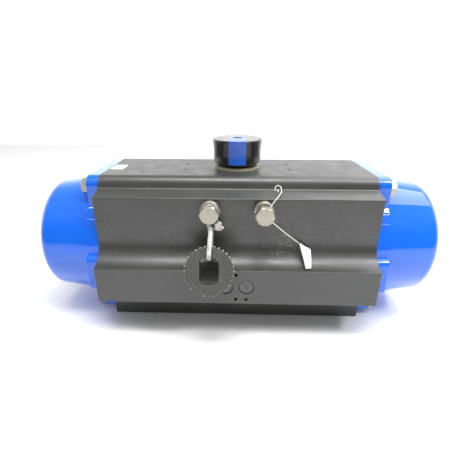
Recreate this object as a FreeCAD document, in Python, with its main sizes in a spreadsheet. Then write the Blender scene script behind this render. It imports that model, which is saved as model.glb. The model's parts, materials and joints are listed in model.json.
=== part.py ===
import FreeCAD, Part
import math
import os
import re

import Sketcher

# Spring-return rotary actuator with two opposed rack pistons and one pinion.
# Frame: the origin is on the drive axis at the mounting face, +Z points up
# towards the position indicator, +X runs along the housing, and -Y is the side
# with the travel stops and the air ports.

os.makedirs("parts", exist_ok=True)
doc = FreeCAD.newDocument("RotaryActuator")

# ---------------------------------------------------------------- sizes (mm)

SIZES = {
    # housing extrusion, half section
    "body_length": 320,
    "body_height": 187,
    "top_half_width": 52.6,
    "groove_reach": 57.6,
    "groove_height": 173.8,
    "shoulder_reach": 77.3,
    "shoulder_height": 169,
    "pad_reach": 101.4,
    "pad_top": 92.9,
    "pad_root_height": 95.8,
    "pad_bottom": 49.6,
    "base_half_width": 57,
    "base_flank_height": 27,
    # cylinder bore
    "bore_radius": 65,
    "bore_height": 94,
    # pinion
    "pitch_radius": 28,
    "gear_module": 4,
    "gear_bottom": 60,
    "gear_top": 128,
    "lower_journal_radius": 35,
    "upper_journal_radius": 19,
    "pinion_bottom": 4,
    "socket_depth": 32,
    "cam_seat_radius": 23,
    "cam_bottom": 151,
    "cam_top": 163,
    "cam_radius": 33,
    "cam_face_offset": 9.9,
    "shaft_top": 217,
    "shaft_radius": 15,
    "shaft_flats": 24,
    # bushes
    "lower_bush_radius": 38,
    "upper_bush_radius": 22,
    "bearing_gap": 0.05,
    # pistons
    "piston_radius": 64.7,
    "piston_inner_face": 66,
    "piston_outer_face": 104,
    "rack_end": 61,
    "rack_back_radius": 63.6,
    "rack_half_height": 28,
    # return springs
    "spring_count": 4,
    "spring_circle_radius": 35,
    "spring_coil_radius": 16,
    "spring_wire_radius": 2.2,
    "spring_seat_face": 222,
    # end caps
    "flange_outer": 175,
    "cap_axis_height": 95,
    "barrel_root_radius": 79,
    "barrel_end_radius": 71.2,
    "cap_end": 238.5,
    "cap_rim_radius": 14,
    "cap_inner_radius": 62,
    "cap_bolt_reach": 45,
    "cap_bolt_top": 173,
    "cap_bolt_bottom": 15,
    # travel stops
    "stop_offset": 29.5,
    "stop_height": 157,
    "stop_tip": 10,
    "stop_thread_radius": 5.9,
    "stop_nut_front": 85,
    "stop_head_flats": 19,
    "stop_head_height": 7.5,
    "left_head_back": 91,
    "right_head_back": 94,
    # air ports on the control-valve pad
    "port_spacing": 24,
    "port_height": 71.7,
    "port_hole_spacing": 32,
    "small_tap_radius": 2.1,
    "channel_reach": 82,
    "channel_height": 84,
    # accessory pattern on top
    "top_holes_length": 130,
    "top_holes_width": 30,
    # mounting face
    "small_circle": 102,
    "large_circle": 125,
    "small_circle_tap": 4.25,
    "large_circle_tap": 5.1,
    "spigot_radius": 42.5,
    "spigot_depth": 3,
    # indicator and washers
    "puck_radius": 30.4,
    "puck_waist": 29.2,
    "puck_bottom": 190.5,
    "puck_top": 222.7,
    "stripe_width": 20.6,
    "stripe_height": 0.5,
    "thrust_washer_radius": 27.6,
    "thrust_washer_height": 3,
    # loose drive insert
    "insert_teeth": 32,
    "insert_radius": 27,
    "insert_root_radius": 25.2,
    "insert_length": 16,
    "insert_bore_radius": 15,
    "insert_flats": 21,
    "insert_lean": 25,
    # string and strap
    "string_radius": 0.5,
    "strap_radius": 1.1,
}

sheet = doc.addObject("Spreadsheet::Sheet", "Sizes")
for row, (alias, amount) in enumerate(SIZES.items(), start=1):
    sheet.set(f"A{row}", alias)
    sheet.set(f"B{row}", str(amount))
    sheet.setAlias(f"B{row}", alias)
doc.recompute()


class Read:
    """Numbers of the sheet, for the shapes that a formula makes."""

    def __getattr__(self, alias):
        return float(sheet.get(alias))


size = Read()
V = FreeCAD.Vector
ALONG = {
    "x": FreeCAD.Rotation(V(0, 1, 0), 90),
    "y": FreeCAD.Rotation(V(1, 0, 0), -90),
    "z": FreeCAD.Rotation(),
}
HALF_TURN = FreeCAD.Placement(V(), FreeCAD.Rotation(V(0, 0, 1), 180))

# ------------------------------------------------------------------- helpers


def linked(text):
    """An expression whose plain words, other than functions, are aliases of the sheet."""
    return re.sub(r"[a-z][a-z_]+\b(?!\()", lambda word: "Sizes." + word.group(), str(text))


def place(item, at, axis):
    item.Placement = FreeCAD.Placement(V(), ALONG[axis])
    for letter, where in zip("xyz", at):
        item.setExpression(f".Placement.Base.{letter}", linked(where))


def cylinder(name, radius, height, at=(0, 0, 0), axis="z"):
    item = doc.addObject("Part::Cylinder", name)
    item.setExpression("Radius", linked(radius))
    item.setExpression("Height", linked(height))
    place(item, at, axis)
    return item


def box(name, length, width, height, at):
    """A box centred on at."""
    item = doc.addObject("Part::Box", name)
    extents = {"Length": length, "Width": width, "Height": height}
    for side, extent in extents.items():
        item.setExpression(side, linked(extent))
    corner = [f"({where}) - ({extent}) / 2" for where, extent in zip(at, extents.values())]
    place(item, corner, "z")
    return item


def torus(name, ring, section, at, axis="z"):
    item = doc.addObject("Part::Torus", name)
    item.setExpression("Radius1", linked(ring))
    item.setExpression("Radius2", linked(section))
    place(item, at, axis)
    return item


def fuse(name, *items):
    joined = doc.addObject("Part::MultiFuse", name)
    joined.Shapes = list(items)
    return joined


def common(name, *items):
    shared = doc.addObject("Part::MultiCommon", name)
    shared.Shapes = list(items)
    return shared


def group(name, *items):
    """Separate solids that share one node."""
    together = doc.addObject("Part::Compound", name)
    together.Links = list(items)
    return together


def cut(name, base, *tools):
    removed = tools[0] if len(tools) == 1 else fuse(name + "_removed", *tools)
    rest = doc.addObject("Part::Cut", name)
    rest.Base = base
    rest.Tool = removed
    return rest


def formed(name, shape):
    """A shape that a formula makes."""
    item = doc.addObject("Part::Feature", name)
    item.Shape = shape
    return item


def tube(name, outer, inner, length, at, axis="z"):
    solid = cylinder(name + "_outside", outer, length, at, axis)
    hole = cylinder(name + "_inside", inner, length, at, axis)
    return cut(name, solid, hole)


def rounded(name, base, radius, wanted):
    """Rounds the edges of base for which wanted(edge) is true."""
    doc.recompute()
    picked = [(i, radius, radius) for i, edge in enumerate(base.Shape.Edges, start=1) if wanted(edge)]
    fillet = doc.addObject("Part::Fillet", name)
    fillet.Base = base
    fillet.Edges = picked
    return fillet


def origin_plane(body, role):
    return next(item for item in body.Origin.OriginFeatures if item.Role == role)


def outline_sketch(body, name, role, corners):
    """A closed outline whose corners are bound to the sheet, all on the positive side."""
    sketch = body.newObject("Sketcher::SketchObject", name)
    sketch.AttachmentSupport = [(origin_plane(body, role), "")]
    sketch.MapMode = "FlatFace"
    doc.recompute()
    spots = [[float(body.evalExpression(linked(part))) for part in corner] for corner in corners]
    count = len(spots)
    for index in range(count):
        start, end = spots[index], spots[(index + 1) % count]
        sketch.addGeometry(Part.LineSegment(V(*start, 0), V(*end, 0)), False)
    for index in range(count):
        sketch.addConstraint(Sketcher.Constraint("Coincident", index, 2, (index + 1) % count, 1))
    for index, corner in enumerate(corners):
        for kind, part, amount in zip(("DistanceX", "DistanceY"), corner, spots[index]):
            bind_distance(sketch, kind, index, part, amount)
    return sketch


def bind_distance(sketch, kind, index, text, amount):
    """Ties one coordinate of a line's start to an expression."""
    if amount == 0:
        axis = -2 if kind == "DistanceX" else -1
        sketch.addConstraint(Sketcher.Constraint("PointOnObject", index, 1, axis))
        return
    number = sketch.addConstraint(Sketcher.Constraint(kind, -1, 1, index, 1, amount))
    sketch.setExpression(f"Constraints[{number}]", linked(text))


def polygon_prism(points, height):
    """A prism on the XY plane from a closed run of points."""
    outline = Part.makePolygon([V(*point, 0) for point in points] + [V(*points[0], 0)])
    return Part.Face(outline).extrude(V(0, 0, height))


def lengthwise(edge, reach, height):
    """True for an edge along X at this distance from the middle plane and this height."""
    ends = [corner.Point for corner in edge.Vertexes]
    if len(ends) < 2 or abs(ends[0].x - ends[1].x) < 1:
        return False
    return all(abs(abs(end.y) - reach) < 0.01 and abs(end.z - height) < 0.01 for end in ends)


def corner_path(points):
    """Straight runs joined by tangent arcs, each as large as its two runs allow."""
    edges = []
    radii = []
    start = points[0]
    for before, corner, after in zip(points, points[1:], points[2:]):
        come = (corner - before).normalize()
        leave = (after - corner).normalize()
        turn = come.getAngle(leave)
        reach = 0.45 * min((corner - before).Length, (after - corner).Length)
        radius = reach / math.tan(turn / 2)
        radii.append(round(radius, 1))
        first = corner - come * reach
        last = corner + leave * reach
        inward = (leave - come).normalize()
        middle = corner + inward * (radius / math.cos(turn / 2) - radius)
        edges.append(Part.LineSegment(start, first).toShape())
        edges.append(Part.Arc(first, middle, last).toShape())
        start = last
    edges.append(Part.LineSegment(start, points[-1]).toShape())
    return Part.Wire(edges), radii


def routed_tube(label, points, radius):
    """A round tube along a route, with its bend radii printed."""
    spots = [V(*point) for point in points]
    path, radii = corner_path(spots)
    direction = spots[1] - spots[0]
    section = Part.Wire(Part.makeCircle(radius, spots[0], direction))
    solid = path.makePipeShell([section], True, True)
    ideal = math.pi * radius**2 * path.Length
    print(label, "length", round(path.Length, 1), "radii", radii, "volume ratio", round(solid.Volume / ideal, 4))
    return solid


sub_parts = []


def finished(item, label, placement=None):
    item.Label = label
    if placement is not None:
        item.Placement = placement
    sub_parts.append(item)
    return item


# ------------------------------------------------------------------- housing


def housing_outline():
    body = doc.addObject("PartDesign::Body", "HousingExtrusion")
    corners = [
        (0, 0),
        ("base_half_width", 0),
        ("base_half_width", "base_flank_height"),
        ("pad_reach", "pad_bottom"),
        ("pad_reach", "pad_top"),
        ("shoulder_reach", "pad_root_height"),
        ("shoulder_reach", "shoulder_height"),
        ("groove_reach", "groove_height"),
        ("top_half_width", "body_height"),
        (0, "body_height"),
    ]
    sketch = outline_sketch(body, "HalfSection", "YZ_Plane", corners)
    pad = body.newObject("PartDesign::Pad", "HalfExtrusion")
    pad.Profile = sketch
    pad.setExpression("Length", linked("body_length"))
    pad.Midplane = True
    mirrored = body.newObject("PartDesign::Mirrored", "WholeSection")
    mirrored.Originals = [pad]
    mirrored.MirrorPlane = (origin_plane(body, "XZ_Plane"), [""])
    body.Tip = mirrored
    doc.recompute()
    return body


def round_section_edges(body):
    """The long edges of the extrusion, each with its own radius."""
    rounds = (
        (27 - 1, size.shoulder_reach, size.pad_root_height),
        (1.4, size.shoulder_reach, size.shoulder_height),
        (2.5, size.groove_reach, size.groove_height),
        (11, size.top_half_width, size.body_height),
        (1.0, size.pad_reach, size.pad_top),
        (1.5, size.pad_reach, size.pad_bottom),
        (1.0, size.base_half_width, 0),
    )
    edges = []
    for radius, reach, height in rounds:
        for index, edge in enumerate(body.Shape.Edges, start=1):
            if lengthwise(edge, reach, height):
                edges.append((index, radius, radius))
    fillet = doc.addObject("Part::Fillet", "RoundedExtrusion")
    fillet.Base = body
    fillet.Edges = edges
    return fillet


def diagonal_holes(name, circle, radius, depth):
    """Four holes on the diagonals of a bolt circle in the mounting face."""
    holes = []
    for index, (x_side, y_side) in enumerate(((1, 1), (-1, 1), (-1, -1), (1, -1))):
        at = (f"{x_side} * {circle} / 2 * sqrt(0.5)", f"{y_side} * {circle} / 2 * sqrt(0.5)", 0)
        holes.append(cylinder(f"{name}_{index}", radius, depth, at))
    return holes


def top_holes():
    depth = 10
    holes = []
    for index, (x_side, y_side) in enumerate(((1, 1), (-1, 1), (-1, -1), (1, -1))):
        at = (f"{x_side} * top_holes_length / 2", f"{y_side} * top_holes_width / 2", f"body_height - {depth}")
        holes.append(cylinder(f"TopHole_{index}", "small_tap_radius", depth, at))
    return holes


def port_features():
    """Air ports, their counterbores, the fixing holes of the pad and the air channel."""
    half = "port_spacing / 2"
    counterbore = 3.4
    holes = []
    for name, side, depth in (("PortA", -1, "pad_reach - 60"), ("PortB", 1, "pad_reach - channel_reach")):
        at = (f"{side} * {half}", "-pad_reach", "port_height")
        holes.append(cylinder(name + "_counterbore", 9, counterbore, at, "y"))
        holes.append(cylinder(name + "_passage", 4.5, depth, at, "y"))
        holes.append(cylinder(name + "_thread", 6.6, 14, at, "y"))
    riser = (half, "-channel_reach", "port_height")
    holes.append(cylinder("PortB_riser", 4, "channel_height - port_height", riser))
    channel = ("-body_length / 2", "-channel_reach", "channel_height")
    holes.append(cylinder("AirChannel", 4, "body_length", channel, "x"))
    for index, (x_part, side) in enumerate(((0, 1), (0, -1), (half, -1), (f"-{half}", 1))):
        at = (x_part, "-pad_reach", f"port_height + {side} * port_hole_spacing / 2")
        holes.append(cylinder(f"PadHole_{index}", "small_tap_radius", 10, at, "y"))
    return holes


def cap_bolt_places():
    reach = "cap_bolt_reach"
    return [(y, z) for z in ("cap_bolt_top", "cap_bolt_bottom") for y in (reach, f"-{reach}")]


def cap_bolt_holes():
    radius, depth = 5, 24
    holes = []
    for index, (y, z) in enumerate(cap_bolt_places()):
        for name, start in (("Right", f"body_length / 2 - {depth}"), ("Left", "-body_length / 2")):
            holes.append(cylinder(f"CapBoltHole{name}_{index}", radius, depth, (start, y, z), "x"))
    return holes


def housing():
    section = round_section_edges(housing_outline())
    end = "-body_length / 2"
    removed = [
        cylinder("CylinderBore", "bore_radius", "body_length", (end, 0, "bore_height"), "x"),
        cylinder("Spigot", "spigot_radius", "spigot_depth"),
        cylinder("LowerLip", "lower_journal_radius + 0.3", 40),
        cylinder("LowerBushSeat", "lower_bush_radius", 40, (0, 0, 12)),
        cylinder("CamPocket", "cam_radius + 1.5", 30, (0, 0, 135)),
        cylinder("UpperBushSeat", "upper_bush_radius", 20, (0, 0, 156)),
        cylinder("UpperLip", "upper_journal_radius + 0.3", 30, (0, 0, "body_height - 25")),
    ]
    for name, side in (("StopHoleLeft", -1), ("StopHoleRight", 1)):
        at = (f"{side} * stop_offset", "-shoulder_reach - 5", "stop_height")
        removed.append(cylinder(name, 6, "shoulder_reach - 5", at, "y"))
    removed += top_holes() + port_features() + cap_bolt_holes()
    removed += diagonal_holes("SmallCircleHole", "small_circle", "small_circle_tap", 18)
    removed += diagonal_holes("LargeCircleHole", "large_circle", "large_circle_tap", 20)
    finished(cut("Housing", section, *removed), "housing")


# ------------------------------------------------------------------ end caps


def flange():
    """The flange's plate and two side lobes, lightly rounded outside."""
    depth = "flange_outer - body_length / 2"
    middle = "(flange_outer + body_length / 2) / 2"
    plate = box("FlangePlate", depth, 110, "body_height - 6.4", (middle, 0, "(body_height + 5.6) / 2"))
    lobes = box("FlangeLobes", depth, 176, 45, (middle, 0, 77.5))
    plate = rounded("FlangePlateRounded", plate, 11, along_x)
    lobes = rounded("FlangeLobesRounded", lobes, 7, along_x)
    whole = fuse("FlangeWhole", plate, lobes)
    return rounded("FlangeRounded", whole, 1.6, lambda edge: at_station(edge, size.flange_outer))


def along_x(edge):
    ends = [corner.Point for corner in edge.Vertexes]
    return abs(ends[0].x - ends[1].x) > 1


def at_station(edge, station):
    bounds = edge.BoundBox
    return abs(bounds.XMin - station) < 0.01 and abs(bounds.XMax - station) < 0.01


def barrel():
    """The spring barrel, a tapering cup turned about the cylinder axis."""
    body = doc.addObject("PartDesign::Body", "Barrel")
    corners = [
        ("body_length / 2", "cap_inner_radius + 1"),
        ("body_length / 2", "barrel_root_radius"),
        ("flange_outer", "barrel_root_radius"),
        ("cap_end", "barrel_end_radius"),
        ("cap_end", 0),
        ("cap_end - 12", 0),
        ("cap_end - 12", "cap_inner_radius - 2"),
    ]
    sketch = outline_sketch(body, "BarrelSection", "XZ_Plane", corners)
    turned = body.newObject("PartDesign::Revolution", "BarrelTurned")
    turned.Profile = sketch
    turned.ReferenceAxis = (sketch, ["H_Axis"])
    turned.Angle = 360
    body.Tip = turned
    body.Placement = FreeCAD.Placement(V(0, 0, size.cap_axis_height), FreeCAD.Rotation())
    doc.recompute()
    rims = rounded("BarrelRounded", body, size.cap_rim_radius, lambda edge: at_station(edge, size.cap_end))
    return rims


def end_cap(label, placement):
    whole = fuse(label + "_solid", flange(), barrel())
    opening_at = ("body_length / 2 - 1", 0, "cap_axis_height")
    removed = [
        cylinder(label + "_opening", "cap_inner_radius", "flange_outer - body_length / 2 + 3", opening_at, "x"),
        seal_groove(label),
        box(label + "_air_slot", 9, "88 - 50", 8, ("body_length / 2 + 3.5", "-67", "channel_height")),
        box(label + "_air_slot_back", 9, "88 - 50", 8, ("body_length / 2 + 3.5", "67", "channel_height")),
    ]
    for index, (y, z) in enumerate(cap_bolt_places()):
        removed.append(cylinder(f"{label}_bolt_hole_{index}", 5.5, 30, ("body_length / 2 - 5", y, z), "x"))
    finished(cut(label + "_cap", whole, *removed), label, placement)


def seal_groove(label):
    at = ("body_length / 2", 0, "bore_height")
    return tube(label + "_seal_groove", 71, 67.2, 2.7, at, "x")


def cap_seal(side, sign):
    at = (f"{sign} * (body_length / 2 + 1.35)", 0, "bore_height")
    finished(torus(f"cap_seal_{side}_ring", 69.1, 1.3, at, "x"), f"cap_seal_{side}")


def hexagon(name, flats, height, at, axis, turn=0):
    """A hexagon prism whose width across flats is given."""
    prism = doc.addObject("Part::Prism", name)
    prism.Polygon = 6
    prism.setExpression("Circumradius", linked(f"({flats}) / sqrt(3)"))
    prism.setExpression("Height", linked(height))
    place(prism, at, axis)
    prism.Placement.Rotation = ALONG[axis].multiply(FreeCAD.Rotation(V(0, 0, 1), turn))
    return prism


def hexagon_head(name, flats, height, at, axis, tip, turn=0):
    """A bolt head with its outer corners turned down by a cone."""
    prism = hexagon(name + "_hexagon", flats, height, at, axis, turn)
    cone = doc.addObject("Part::Cone", name + "_turned")
    cone.setExpression("Radius1", linked(f"({flats}) * 0.5 + ({height})" if tip == "end" else f"({flats}) * 0.49"))
    cone.setExpression("Radius2", linked(f"({flats}) * 0.49" if tip == "end" else f"({flats}) * 0.5 + ({height})"))
    cone.setExpression("Height", linked(height))
    place(cone, at, axis)
    return common(name, prism, cone)


def cap_bolts(label, placement):
    """Four hexagon bolts, each a head on a shank."""
    bolts = []
    for index, (y, z) in enumerate(cap_bolt_places()):
        head_at = ("flange_outer + 0.05", y, z)
        head = hexagon_head(f"{label}_head_{index}", 17, 6.4, head_at, "x", "end", 15 * index)
        shank = cylinder(f"{label}_shank_{index}", 4.9, "flange_outer - body_length / 2 + 20",
                         ("body_length / 2 - 20", y, z), "x")
        bolts.append(fuse(f"{label}_bolt_{index}", head, shank))
    finished(group(label + "_set", *bolts), label, placement)


# ---------------------------------------------------- pinion and what it turns


def involute_flank(base_radius, tip_radius, steps):
    """Radius and turn of points on an involute, from its base circle to the tip."""
    for step in range(steps + 1):
        radius = base_radius + (tip_radius - base_radius) * step / steps
        roll = math.acos(base_radius / radius)
        yield radius, math.tan(roll) - roll


def pinion_teeth():
    """A 25 degree involute gear, a little thinner than nominal for backlash."""
    pressure = math.radians(25)
    pitch = size.pitch_radius
    teeth = round(2 * pitch / size.gear_module)
    base = pitch * math.cos(pressure)
    tip = pitch + size.gear_module - 0.1
    root = pitch - 1.3 * size.gear_module
    backlash = 0.15
    half = math.pi / 2 / teeth - backlash / pitch + math.tan(pressure) - pressure
    points = []
    for tooth in range(teeth):
        centre = 2 * math.pi * tooth / teeth + math.pi / 2
        flank = [(root, 0)] + list(involute_flank(base, tip, 6))
        rising = [(radius, centre - half + turn) for radius, turn in flank]
        falling = [(radius, centre + half - turn) for radius, turn in reversed(flank)]
        points += [(r * math.cos(a), r * math.sin(a)) for r, a in rising + falling]
    prism = polygon_prism(points, size.gear_top - size.gear_bottom)
    prism.translate(V(0, 0, size.gear_bottom))
    return prism


def star_points(teeth, tip_radius, root_radius):
    """Corners of a fine-toothed ring."""
    step = math.pi / teeth
    points = []
    for index in range(2 * teeth):
        radius = tip_radius if index % 2 == 0 else root_radius
        points.append((radius * math.cos(index * step), radius * math.sin(index * step)))
    return points


def shaft_with_flats(name, radius, flats, bottom, height):
    round_part = cylinder(name + "_round", radius, height, (0, 0, bottom))
    flat_part = box(name + "_flats", flats, f"2 * ({radius}) + 2", height, (0, 0, f"({bottom}) + ({height}) / 2"))
    return common(name, round_part, flat_part)


def pinion():
    journal = "lower_journal_radius"
    solids = [
        cylinder("LowerJournal", journal, "gear_bottom - 4 - pinion_bottom", (0, 0, "pinion_bottom")),
        cylinder("LowerNeck", "pitch_radius - 1.3 * gear_module", 10, (0, 0, "gear_bottom - 5")),
        formed("PinionTeeth", pinion_teeth()),
        cylinder("CamShoulder", "cam_seat_radius", "cam_bottom - gear_top + 1", (0, 0, "gear_top - 1")),
        shaft_with_flats("CamSeat", "cam_seat_radius", 39, "cam_bottom - 1", "cam_top - cam_bottom + 1"),
        cylinder("UpperJournal", "upper_journal_radius", "196 - cam_top + 1", (0, 0, "cam_top - 1")),
        shaft_with_flats("TopFlats", "shaft_radius", "shaft_flats", 195, "shaft_top - 195"),
    ]
    socket_size = 0.2
    socket_outline = star_points(round(size.insert_teeth), size.insert_radius + socket_size,
                                 size.insert_root_radius + socket_size)
    socket_form = polygon_prism(socket_outline, size.socket_depth)
    socket_form.translate(V(0, 0, size.pinion_bottom))
    removed = [
        formed("DriveSocket", socket_form),
        tube("LowerSealGroove", "lower_journal_radius + 1", 32.6, 3.6, (0, 0, 5.7)),
        tube("UpperSealGroove", "upper_journal_radius + 1", 16.8, 3.2, (0, 0, 179.9)),
        tube("CirclipGroove", "upper_journal_radius + 1", 17.4, 1.7, (0, 0, 191.6)),
        cylinder("IndicatorScrewHole", 2.6, 16, (0, 0, "shaft_top - 16")),
    ]
    finished(cut("Pinion", fuse("PinionSolid", *solids), *removed), "pinion")


def stop_cam():
    """A plate with one lobe for each travel stop, on the pinion's flats."""
    height = "cam_top - cam_bottom - 0.1"
    middle = "(cam_top + cam_bottom) / 2"
    disc = cylinder("CamDisc", "cam_radius", height, (0, 0, "cam_bottom + 0.05"))
    reach = 60
    front = box("CamOpenFront", 2 * reach, reach, 20, (0, f"-cam_face_offset - {reach} / 2", middle))
    left = box("CamOpenLeft", reach, 2 * reach, 20, (f"-cam_face_offset - {reach} / 2", 0, middle))
    lobes = cut("CamLobes", disc, front, left)
    hub = cylinder("CamHub", 25.5, height, (0, 0, "cam_bottom + 0.05"))
    bore = shaft_with_flats("CamBore", "cam_seat_radius + bearing_gap", 39.1, "cam_bottom - 2", 20)
    finished(cut("StopCam", fuse("CamSolid", lobes, hub), bore), "stop_cam")


def pinion_small_parts():
    gap = "bearing_gap"
    finished(tube("LowerBush", "lower_bush_radius - 0.05", f"lower_journal_radius + {gap}", 16, (0, 0, 12.2)),
             "lower_bearing_bush")
    finished(tube("UpperBush", "upper_bush_radius - 0.05", f"upper_journal_radius + {gap}", 10.6, (0, 0, 165.2)),
             "upper_bearing_bush")
    finished(torus("LowerSeal", 33.95, 1.25, (0, 0, 7.5)), "lower_pinion_seal")
    finished(torus("UpperSeal", 18, 1.15, (0, 0, 181.5)), "upper_pinion_seal")
    washer_base = (0, 0, "body_height + 0.02")
    finished(tube("ThrustWasher", "thrust_washer_radius", "upper_journal_radius + 0.2", "thrust_washer_height",
                  washer_base), "thrust_washer")
    finished(tube("SteelWasher", 22.6, "upper_journal_radius + 0.2", 1.4, (0, 0, "body_height + 3.05")),
             "steel_washer")
    ring = tube("CirclipRing", 21.6, 17.6, 1.4, (0, 0, 191.75))
    mouth = box("CirclipMouth", 8, 12, 6, (0, 20, 192))
    finished(cut("Circlip", ring, mouth), "circlip")


# ------------------------------------------------------------------ indicator


def waist_arc(waist, level, radius, end):
    """An arc that leaves the waist upright and meets the rim's radius at the end height."""
    rise = end - level
    swell = radius - waist
    bend = (rise**2 + swell**2) / (2 * swell)
    middle = waist + bend - math.sqrt(bend**2 - rise**2 / 4)
    return Part.Arc(V(radius, 0, end), V(middle, 0, level + rise / 2), V(waist, 0, level))


def puck_section(proud):
    """Half section of the indicator, moved outwards by proud."""
    radius = size.puck_radius + proud
    waist = size.puck_waist + proud
    top = size.puck_top + proud
    bottom = size.puck_bottom
    flare = bottom + 5.1
    level = top - 0.68 * (top - flare)
    corner = 1.6
    undercut = 6.4
    edges = [
        Part.LineSegment(V(0, 0, top), V(radius - corner, 0, top)),
        Part.Arc(V(radius - corner, 0, top),
                 V(radius - corner * (1 - math.sqrt(0.5)), 0, top - corner * (1 - math.sqrt(0.5))),
                 V(radius, 0, top - corner)),
        waist_arc(waist, level, radius, top - corner),
        waist_arc(waist, level, radius, flare),
        Part.LineSegment(V(radius, 0, flare), V(radius - undercut, 0, bottom)),
        Part.LineSegment(V(radius - undercut, 0, bottom), V(0, 0, bottom)),
        Part.LineSegment(V(0, 0, bottom), V(0, 0, top)),
    ]
    face = Part.Face(Part.Wire([edge.toShape() for edge in edges]))
    return face.revolve(V(), V(0, 0, 1), 360)


def indicator():
    puck = formed("PuckTurned", puck_section(0))
    well = cylinder("PuckWell", 23.2, 7, (0, 0, "puck_bottom - 1"))
    socket = shaft_with_flats("PuckSocket", "shaft_radius + 0.05", "shaft_flats + 0.1", "puck_bottom - 1",
                              "shaft_top + 1.05 - puck_bottom")
    counterbore = cylinder("PuckCounterbore", 6.1, 10, (0, 0, "puck_top - 3.2"))
    clearance = cylinder("PuckScrewHole", 3.3, 20, (0, 0, "shaft_top - 2"))
    finished(cut("IndicatorPuck", puck, well, socket, counterbore, clearance), "indicator_puck")
    band = box("StripeBand", "stripe_width", 80, 80, (0, 0, "puck_top - 40 + 3"))
    shell = formed("StripeTurned", puck_section(size.stripe_height))
    inner = formed("StripeInside", puck_section(0.02))
    foot = cylinder("StripeFoot", 40, 5, (0, 0, "puck_bottom - 0.6"))
    hole = cylinder("StripeHole", 6.1, 10, (0, 0, "puck_top - 3"))
    band_shell = common("StripeBandShell", shell, band)
    finished(cut("IndicatorStripe", band_shell, inner, foot, hole), "indicator_stripe")
    head = cylinder("ScrewHead", 5.7, 2.9, (0, 0, "puck_top - 3.15"))
    shank = cylinder("ScrewShank", 2.5, 17, (0, 0, "puck_top - 3.15 - 17"))
    hexagon_key = hexagon("ScrewKey", 4, 2, (0, 0, "puck_top - 2"), "z")
    finished(cut("IndicatorScrew", fuse("ScrewSolid", head, shank), hexagon_key), "indicator_screw")


# ------------------------------------------------------------ pistons, racks


def rack_teeth():
    """Straight-sided teeth that mesh with the pinion, with a space at x = 0."""
    pressure = math.tan(math.radians(25))
    step = math.pi * size.gear_module
    pitch_line = size.pitch_radius
    tip_line = pitch_line - size.gear_module
    root_line = pitch_line + 1.25 * size.gear_module
    thinning = 0.1
    prisms = []
    for index in range(-1, 5):
        centre = (index + 0.5) * step
        half_tip = step / 4 - (pitch_line - tip_line) * pressure - thinning
        half_root = step / 4 + (root_line + 0.5 - pitch_line) * pressure - thinning
        corners = [
            (centre - half_root, root_line + 0.5),
            (centre - half_tip, tip_line),
            (centre + half_tip, tip_line),
            (centre + half_root, root_line + 0.5),
        ]
        tooth = polygon_prism(corners, 2 * size.rack_half_height)
        tooth.translate(V(0, 0, size.bore_height - size.rack_half_height))
        prisms.append(tooth)
    return prisms[0].fuse(prisms[1:])


def spring_places():
    """Places round the cylinder axis, one a spring, as distances from that axis."""
    count = round(size.spring_count)
    radius = size.spring_circle_radius
    angles = [math.radians(90 + 360 * index / count) for index in range(count)]
    return [(radius * math.cos(angle), radius * math.sin(angle)) for angle in angles]


def piston(label, placement):
    """Head, rack arm and teeth of the piston that lies on the -X side."""
    height = "2 * rack_half_height"
    length = "piston_outer_face - piston_inner_face"
    head = cylinder(label + "_head", "piston_radius", length, ("-piston_outer_face", 0, "bore_height"), "x")
    arm_length = "rack_end + piston_inner_face + 4"
    root_line = "pitch_radius + 1.25 * gear_module"
    arm_box = box(label + "_arm_box", arm_length, 40, height, (f"rack_end - ({arm_length}) / 2",
                  f"{root_line} + 20", "bore_height"))
    arm_round = cylinder(label + "_arm_round", "rack_back_radius", 200, (-110, 0, "bore_height"), "x")
    arm = common(label + "_arm", arm_box, arm_round)
    teeth_limit = box(label + "_teeth_limit", 100, 60, 80, ("rack_end - 50", 40, "bore_height"))
    teeth = common(label + "_teeth", formed(label + "_teeth_row", rack_teeth()), teeth_limit)
    outer = "-piston_outer_face"
    removed = [
        tube(label + "_seal_groove", 70, 61.4, 4.2, (f"{outer} + 5", 0, "bore_height"), "x"),
        tube(label + "_band_groove", 70, 63, 8.4, (f"{outer} + 24", 0, "bore_height"), "x"),
        common(label + "_pad_pocket", tube(label + "_pad_ring", 70, 60, 50, (-5, 0, "bore_height"), "x"),
               box(label + "_pad_window", 60, 60, 33, (20, 45, "bore_height"))),
    ]
    for index, (y, rise) in enumerate(spring_places()):
        at = (f"{outer} - 1", y, f"bore_height + ({rise:.4f})")
        removed.append(cylinder(f"{label}_spring_pocket_{index}", "spring_coil_radius + 4", 15, at, "x"))
    solid = fuse(label + "_solid", head, arm, teeth)
    finished(cut(label + "_cast", solid, *removed), label, placement)


def piston_small_parts(side, sign, placement):
    seal_at = (f"{sign} * (piston_outer_face - 7.1)", 0, "bore_height")
    finished(torus(f"piston_seal_{side}_ring", 63.2, 1.7, seal_at, "x"), f"piston_seal_{side}")
    band_at = ("-piston_outer_face + 24.2", 0, "bore_height")
    band = tube(f"wear_band_{side}_ring", 64.9, 63.1, 8, band_at, "x")
    finished(band, f"wear_band_{side}", placement)
    ring = tube(f"rack_pad_{side}_ring", 64.85, 60.2, 49.5, (-4.8, 0, "bore_height"), "x")
    window = box(f"rack_pad_{side}_window", 60, 60, 32.5, (20, 45, "bore_height"))
    finished(common(f"rack_pad_{side}_pad", ring, window), f"rack_pad_{side}", placement)


def coil_spring(length, turns):
    """One open-coiled spring along Z from the origin."""
    wire = size.spring_wire_radius
    radius = size.spring_coil_radius
    helix = Part.makeHelix(length / turns, length, radius)
    start = V(radius, 0, 0)
    section = Part.Wire(Part.makeCircle(wire, start, V(0, 1, 0)))
    return Part.Wire(helix.Edges).makePipeShell([section], True, True)


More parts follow.
